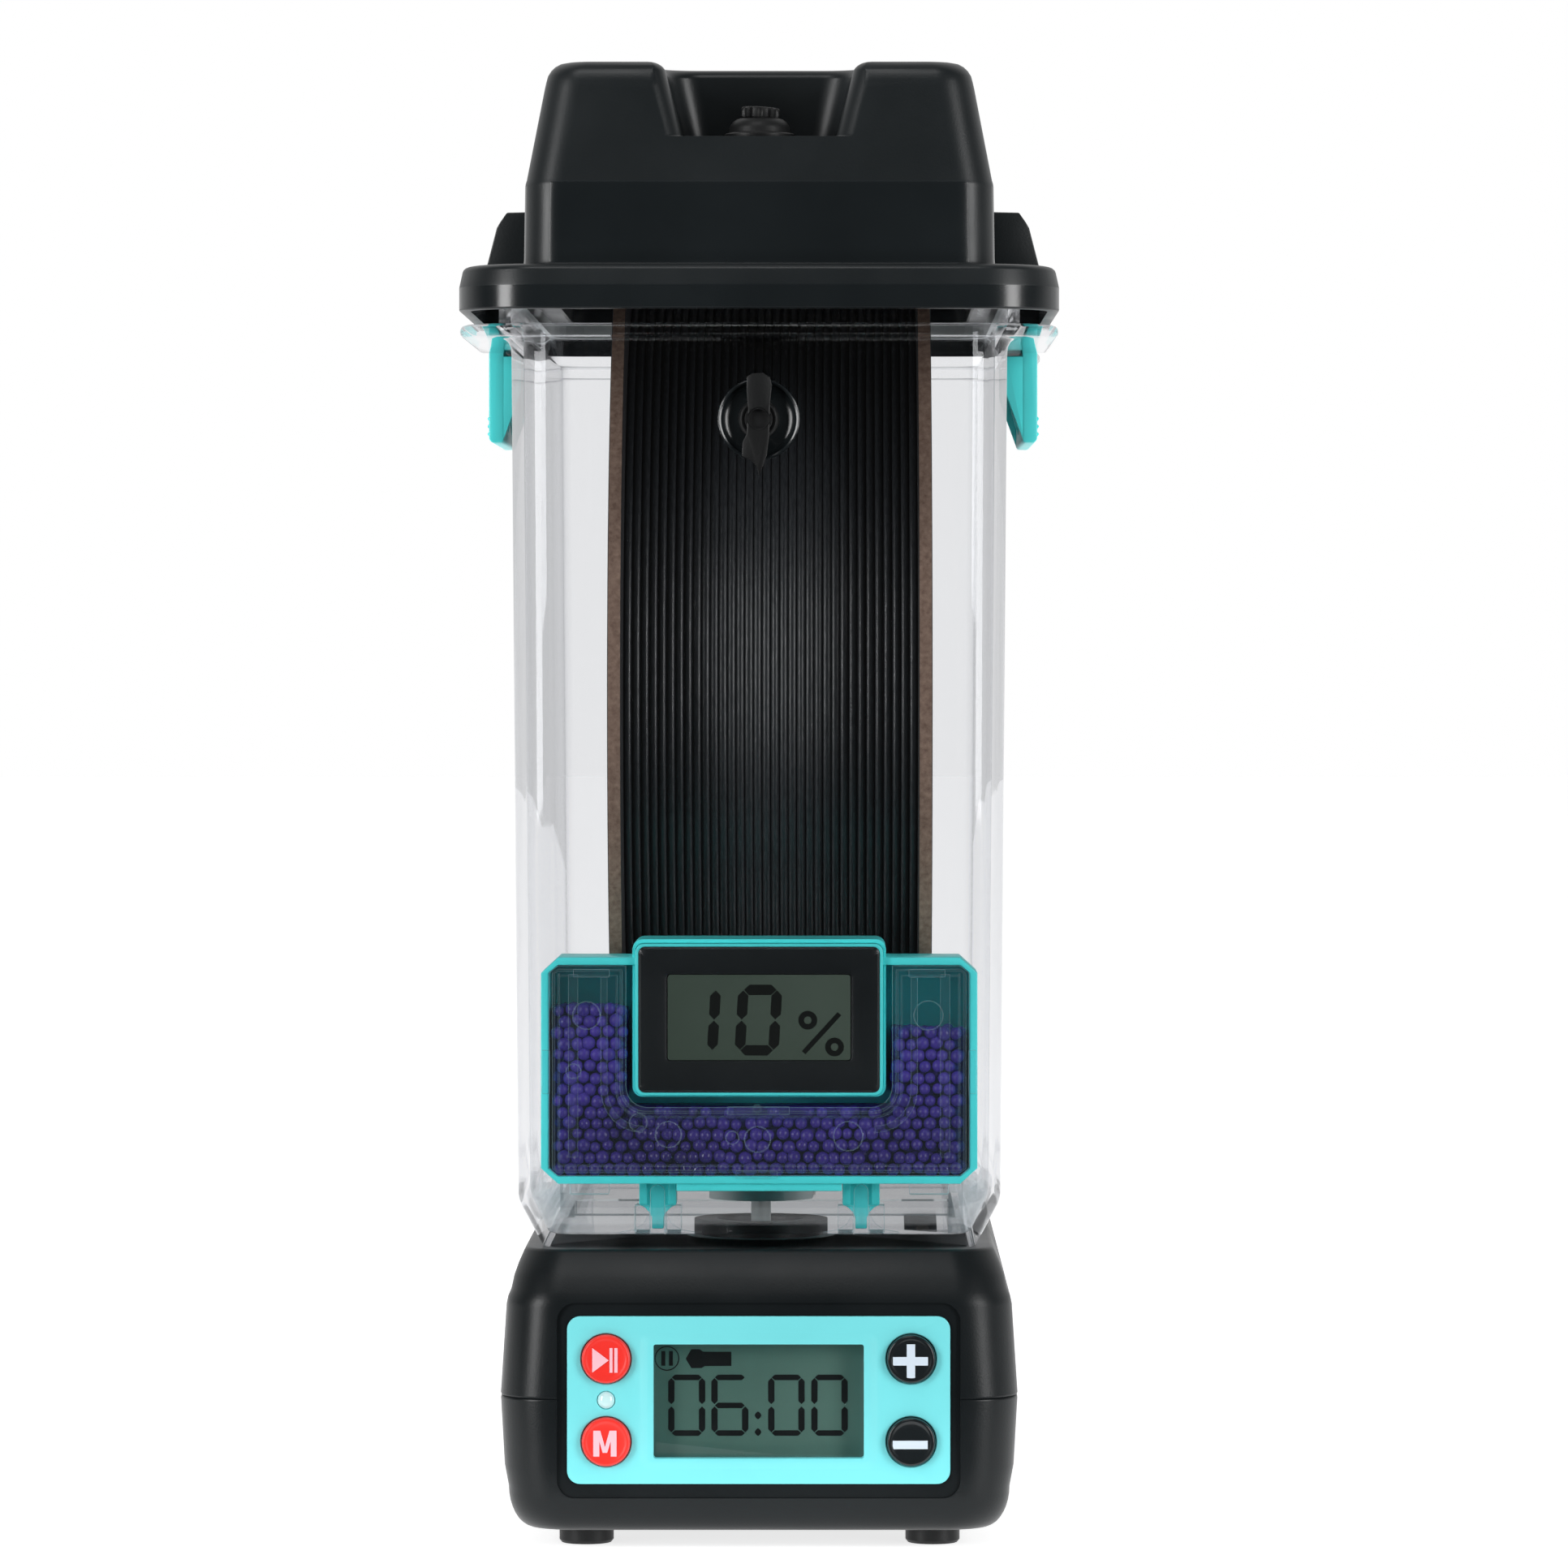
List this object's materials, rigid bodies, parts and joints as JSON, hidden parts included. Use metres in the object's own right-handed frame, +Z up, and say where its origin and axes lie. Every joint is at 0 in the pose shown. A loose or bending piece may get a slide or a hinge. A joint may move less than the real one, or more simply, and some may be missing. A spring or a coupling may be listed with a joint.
{
  "type": "filament dryer box",
  "caption": "Tall clear filament box with a spool on rollers, lifted off a heated dock with a button panel, closed by a black lid with two side latches and a desiccant cassette inside.",
  "frame": {"origin": "centre of the bounding box's bottom face, on the surface the feet stand on", "axes": "+X to the right seen from the front, -Y towards the control panel and the front, +Z up"},
  "size_m": [0.1188, 0.248, 0.2942],
  "materials": {
    "black_shell": "satin moulded plastic",
    "panel_teal": "satin teal plastic",
    "window_clear": "clear acrylic",
    "display_grey": "display",
    "circuit_board": "solder mask",
    "switch_black": "moulded plastic",
    "light_pipe": "frosted clear plastic",
    "button_red": "satin red plastic",
    "button_black": "satin black plastic",
    "foot_rubber": "matte rubber",
    "steel": "plated steel",
    "heater_metal": "bare fins",
    "seal_rubber": "pale silicone rubber",
    "clear_plastic": "clear polycarbonate",
    "port_rubber": "soft black rubber",
    "spool_card": "black paper over brown board",
    "filament_black": "extruded filament",
    "teal_plastic": "satin teal plastic",
    "bead_purple": "indicating silica gel",
    "gauge_black": "satin black plastic",
    "gauge_lcd": "display glass"
  },
  "bodies": {
    "dock": {"dock_lower_shell": "black_shell", "dock_upper_shell": "black_shell", "control_bezel": "panel_teal", "lcd_window": "window_clear", "lcd_module": "display_grey", "control_board": "circuit_board", "tact_switches": "switch_black", "status_light_pipe": "light_pipe", "foot_front_left": "foot_rubber", "foot_front_right": "foot_rubber", "foot_rear_left": "foot_rubber", "foot_rear_right": "foot_rubber", "case_screw_front_left": "steel", "case_screw_front_right": "steel", "case_screw_rear_left": "steel", "case_screw_rear_right": "steel", "blower_housing": "switch_black", "blower_motor": "steel", "heater_element": "heater_metal", "air_duct": "switch_black", "return_duct": "switch_black", "power_board": "circuit_board", "power_inlet": "switch_black", "inlet_air_gasket": "seal_rubber", "outlet_air_gasket": "seal_rubber"},
    "play_pause_button": {"play_pause_button": "button_red"},
    "mode_button": {"mode_button": "button_red"},
    "plus_button": {"plus_button": "button_black"},
    "minus_button": {"minus_button": "button_black"},
    "blower_impeller": {"blower_impeller": "switch_black"},
    "tub": {"tub_shell": "clear_plastic", "outlet_grommet": "port_rubber", "roller_cradle": "clear_plastic", "front_roller_shaft": "steel", "rear_roller_shaft": "steel", "inlet_valve_seat": "switch_black", "outlet_valve_seat": "switch_black"},
    "inlet_valve": {"inlet_valve": "seal_rubber"},
    "outlet_valve": {"outlet_valve": "seal_rubber"},
    "front_rollers": {"front_rollers": "switch_black"},
    "rear_rollers": {"rear_rollers": "switch_black"},
    "spool": {"spool_flange_left": "spool_card", "spool_flange_right": "spool_card", "spool_core": "spool_card", "filament_winding": "filament_black"},
    "cassette": {"cassette_tray": "teal_plastic", "cassette_cover": "clear_plastic", "desiccant_beads": "bead_purple", "hygrometer_frame": "teal_plastic", "hygrometer_bezel": "gauge_black", "hygrometer_lcd": "gauge_lcd"},
    "front_plug": {"front_plug": "port_rubber"},
    "lid": {"lid_shell": "black_shell", "lid_gasket": "seal_rubber", "port_grommet": "port_rubber", "latch_pin_left": "steel", "latch_pin_right": "steel"},
    "port_plug": {"port_plug": "port_rubber"},
    "latch_left": {"latch_left": "teal_plastic"},
    "latch_right": {"latch_right": "teal_plastic"}
  },
  "joints": [
    {"name": "play_pause_press", "type": "slide", "parent": "dock", "child": "play_pause_button", "axis": [0, 1, 0], "range_m": [0, 0.0015], "stiffness_N_per_m": 400},
    {"name": "mode_press", "type": "slide", "parent": "dock", "child": "mode_button", "axis": [0, 1, 0], "range_m": [0, 0.0015], "stiffness_N_per_m": 400},
    {"name": "plus_press", "type": "slide", "parent": "dock", "child": "plus_button", "axis": [0, 1, 0], "range_m": [0, 0.0015], "stiffness_N_per_m": 400},
    {"name": "minus_press", "type": "slide", "parent": "dock", "child": "minus_button", "axis": [0, 1, 0], "range_m": [0, 0.0015], "stiffness_N_per_m": 400},
    {"name": "impeller_spin", "type": "hinge", "parent": "dock", "child": "blower_impeller", "pos_m": [0, -0.04, 0.025], "axis": [0, 0, 1], "continuous": true},
    {"name": "tub_lift", "type": "slide", "parent": "dock", "child": "tub", "axis": [0, 0, 1], "range_m": [0, 0.06]},
    {"name": "inlet_valve_close", "type": "slide", "parent": "tub", "child": "inlet_valve", "axis": [0, 0, 1], "range_m": [-0.004, 0]},
    {"name": "outlet_valve_close", "type": "slide", "parent": "tub", "child": "outlet_valve", "axis": [0, 0, 1], "range_m": [-0.004, 0]},
    {"name": "spool_spin", "type": "hinge", "parent": "tub", "child": "spool", "pos_m": [0.002, 0.004, 0.1678], "axis": [1, 0, 0], "continuous": true},
    {"name": "front_roller_spin", "type": "hinge", "parent": "tub", "child": "front_rollers", "pos_m": [0, -0.053, 0.07689], "axis": [1, 0, 0], "continuous": true},
    {"name": "rear_roller_spin", "type": "hinge", "parent": "tub", "child": "rear_rollers", "pos_m": [0, 0.061, 0.07689], "axis": [1, 0, 0], "continuous": true},
    {"name": "cassette_lift", "type": "slide", "parent": "tub", "child": "cassette", "axis": [0, 0, 1], "range_m": [0, 0.008]},
    {"name": "front_plug_pull", "type": "slide", "parent": "tub", "child": "front_plug", "axis": [0, -1, 0], "range_m": [0, 0.02]},
    {"name": "lid_lift", "type": "slide", "parent": "tub", "child": "lid", "axis": [0, 0, 1], "range_m": [0, 0.09]},
    {"name": "port_plug_pull", "type": "slide", "parent": "lid", "child": "port_plug", "axis": [0, 0, 1], "range_m": [0, 0.03]},
    {"name": "latch_left_swing", "type": "hinge", "parent": "lid", "child": "latch_left", "pos_m": [-0.0524, 0, 0.2642], "axis": [0, 1, 0], "range_deg": [0, 105]},
    {"name": "latch_right_swing", "type": "hinge", "parent": "lid", "child": "latch_right", "pos_m": [0.0524, 0, 0.2642], "axis": [0, -1, 0], "range_deg": [0, 105]}
  ],
  "couplings": [
    {"joint": "inlet_valve_close", "follows": "tub_lift", "ratio": -0.0665},
    {"joint": "outlet_valve_close", "follows": "tub_lift", "ratio": -0.0665},
    {"joint": "front_roller_spin", "follows": "spool_spin", "ratio": -14.286},
    {"joint": "rear_roller_spin", "follows": "spool_spin", "ratio": -14.286},
    {"joint": "latch_left_swing", "follows": "lid_lift", "rad_per_m": 20.2},
    {"joint": "latch_right_swing", "follows": "lid_lift", "rad_per_m": 20.2}
  ]
}
